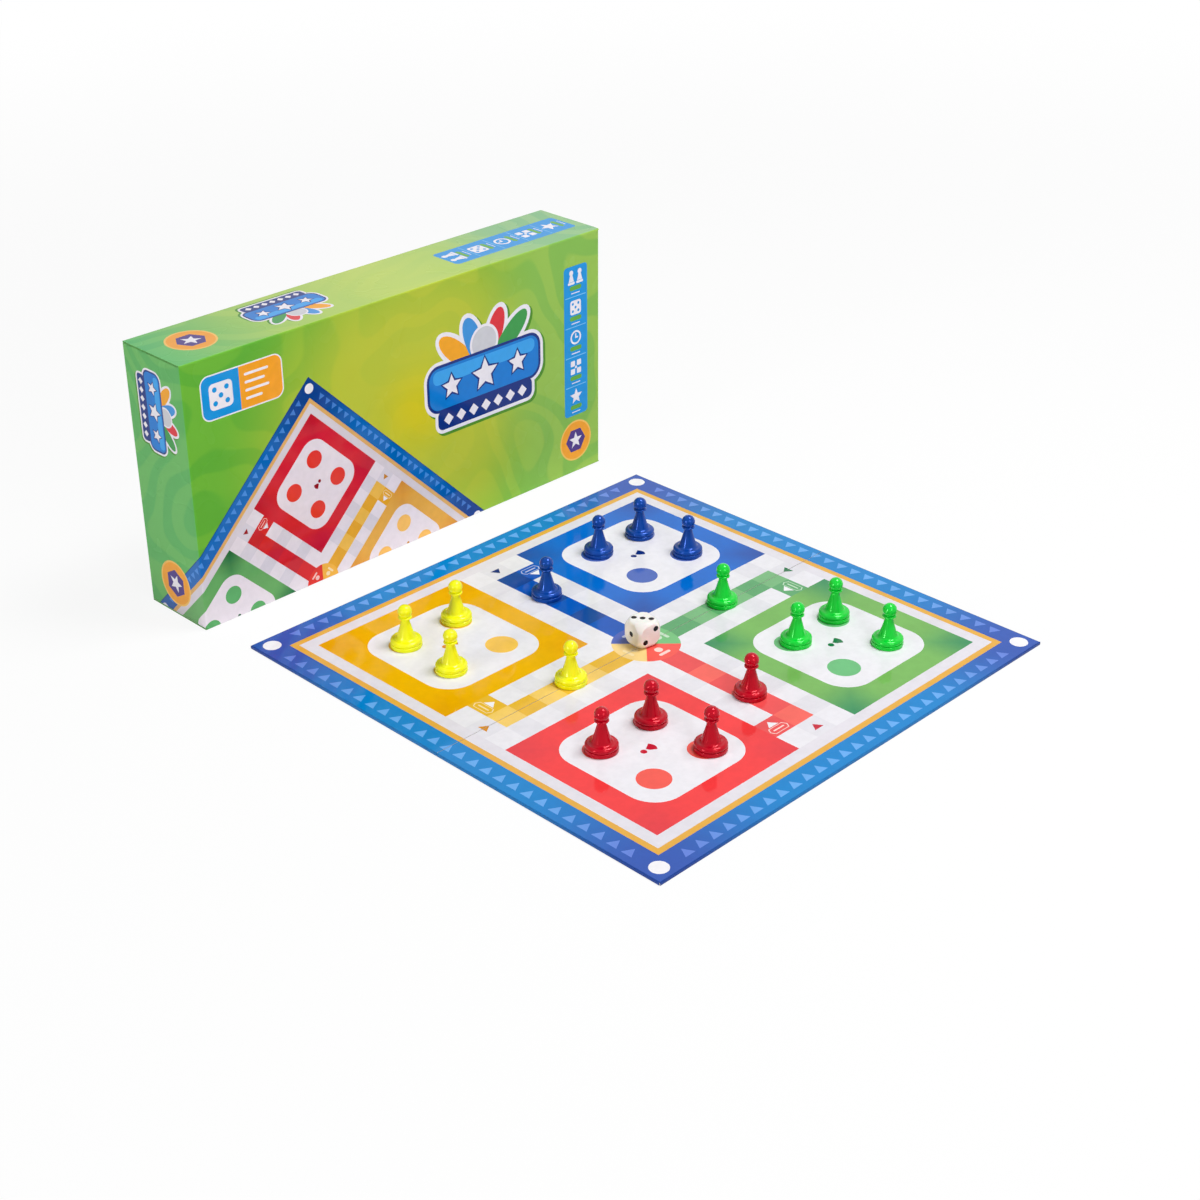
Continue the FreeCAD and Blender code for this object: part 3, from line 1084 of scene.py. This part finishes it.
ferrite = metal("ferrite", "4a4a4e", roughness=0.55, grain=1.0)
for pawn_colour, look in PLASTICS.items():
    finish_nodes(plastic(pawn_colour + "_plastic", **look), pawn_nodes(pawn_colour, "pawn"))
    finish_nodes(ferrite, pawn_nodes(pawn_colour, "pawn_magnet"))
finish_nodes(plastic("die_white", "f4f2ee", "e8e4dc", glow=0.1, gloss=0.4, white=1.0), ["die"])
finish_nodes(plastic("pip_black", "0c0b0d", "141316", glow=0.0, gloss=0.2, white=1.0), ["die_pip_paint"])
finish_nodes(metal("tinned_steel", "b8babd", roughness=0.35, grain=12.0), half_nodes("steel_sheet"))
finish_nodes(card("grey_board", "857f76", "b0a99c", roughness=0.9), half_nodes("core_board"))
finish_nodes(card("back_paper", "24408c", "3c5cac", roughness=0.6), half_nodes("back_liner"))
finish_nodes(book_cloth("hinge_cloth", "142a62", "2c4a90"), half_nodes("hinge_strip"))
finish_nodes(card("insert_card", "e6e2d8", "cbc4b4", roughness=0.8), ["left_insert", "right_insert"])


# Stage: a floor that keeps a faint shadow and fades to white with distance, and a white surround

def backdrop_share(tree):
    """1 where the camera, a gloss or a clear surface looks, 0 where light is gathered."""
    path = node(tree, "LightPath")
    seen = calc(tree, "MAXIMUM", path.outputs["Is Camera Ray"], path.outputs["Is Glossy Ray"])
    return calc(tree, "MAXIMUM", seen, path.outputs["Is Transmission Ray"])


def floor():
    """A wide plane just under the set."""
    material = bpy.data.materials.new("floor_white")
    tree = empty_tree(material)
    matt = node(tree, "BsdfDiffuse", {"Color": FLOOR_TONE})
    glow = node(tree, "Emission", {"Color": WHITE, "Strength": 1.0})
    distance = vector_calc(tree, "LENGTH", node(tree, "TexCoord").outputs["Object"])
    white = ramp(tree, distance, FADE_START, FADE_END, FLOOR_WHITE, 1.0)
    share = calc(tree, "MULTIPLY", backdrop_share(tree), white)
    both = node(tree, "MixShader", {0: share, 1: matt.outputs[0], 2: glow.outputs[0]})
    node(tree, "OutputMaterial", {"Surface": both.outputs[0]})
    mesh = bpy.data.meshes.new("floor")
    mesh.from_pydata([(x, y, -FLOOR_DROP) for x, y in square(0, 0, FLOOR_HALF)], [], [(0, 1, 2, 3)])
    mesh.materials.append(material)
    new_object("floor", mesh)


def surround(level):
    """A world that looks white and gives a little light from all sides."""
    world = bpy.data.worlds.new("studio")
    bpy.context.scene.world = world
    tree = empty_tree(world)
    light = node(tree, "Background", {"Color": WHITE, "Strength": level})
    white = node(tree, "Background", {"Color": WHITE, "Strength": 1.0})
    both = node(tree, "MixShader", {0: backdrop_share(tree), 1: light.outputs[0], 2: white.outputs[0]})
    node(tree, "OutputWorld", {"Surface": both.outputs[0]})


def softbox(name, place, aim, width, height, watts):
    """A rectangular lamp that looks at a point."""
    light = bpy.data.lights.new(name, "AREA")
    light.shape = "RECTANGLE"
    light.size = width
    light.size_y = height
    light.energy = watts
    lamp = new_object(name, light)
    lamp.location = place
    lamp.visible_camera = False
    lamp.rotation_euler = (Vector(aim) - Vector(place)).to_track_quat("-Z", "Y").to_euler()


floor()
surround(SURROUND_LIGHT)
softbox("overhead", place=(0.42, -0.34, 1.51), aim=(0.0, 0.0, 0.0), width=0.6, height=0.6, watts=22.0)
softbox("side", place=(-1.5, 0.05, 0.34), aim=(0.0, 0.05, 0.02), width=0.22, height=0.5, watts=8.0)
softbox("front", place=(-0.5, -1.7, 0.9), aim=(0.0, 0.1, 0.05), width=0.8, height=0.8, watts=10.5)


# Camera

lens = bpy.data.cameras.new("camera")
lens.sensor_width = SENSOR_MM
lens.lens = FOCAL_PIXELS / FRAME_PIXELS * SENSOR_MM
camera = new_object("camera", lens)
camera.location = CAMERA_PLACE
camera.rotation_euler = (math.radians(90 - CAMERA_PITCH_DEG), 0.0, math.radians(-CAMERA_YAW_DEG))
bpy.context.scene.camera = camera
bpy.context.scene.view_settings.view_transform = "Standard"
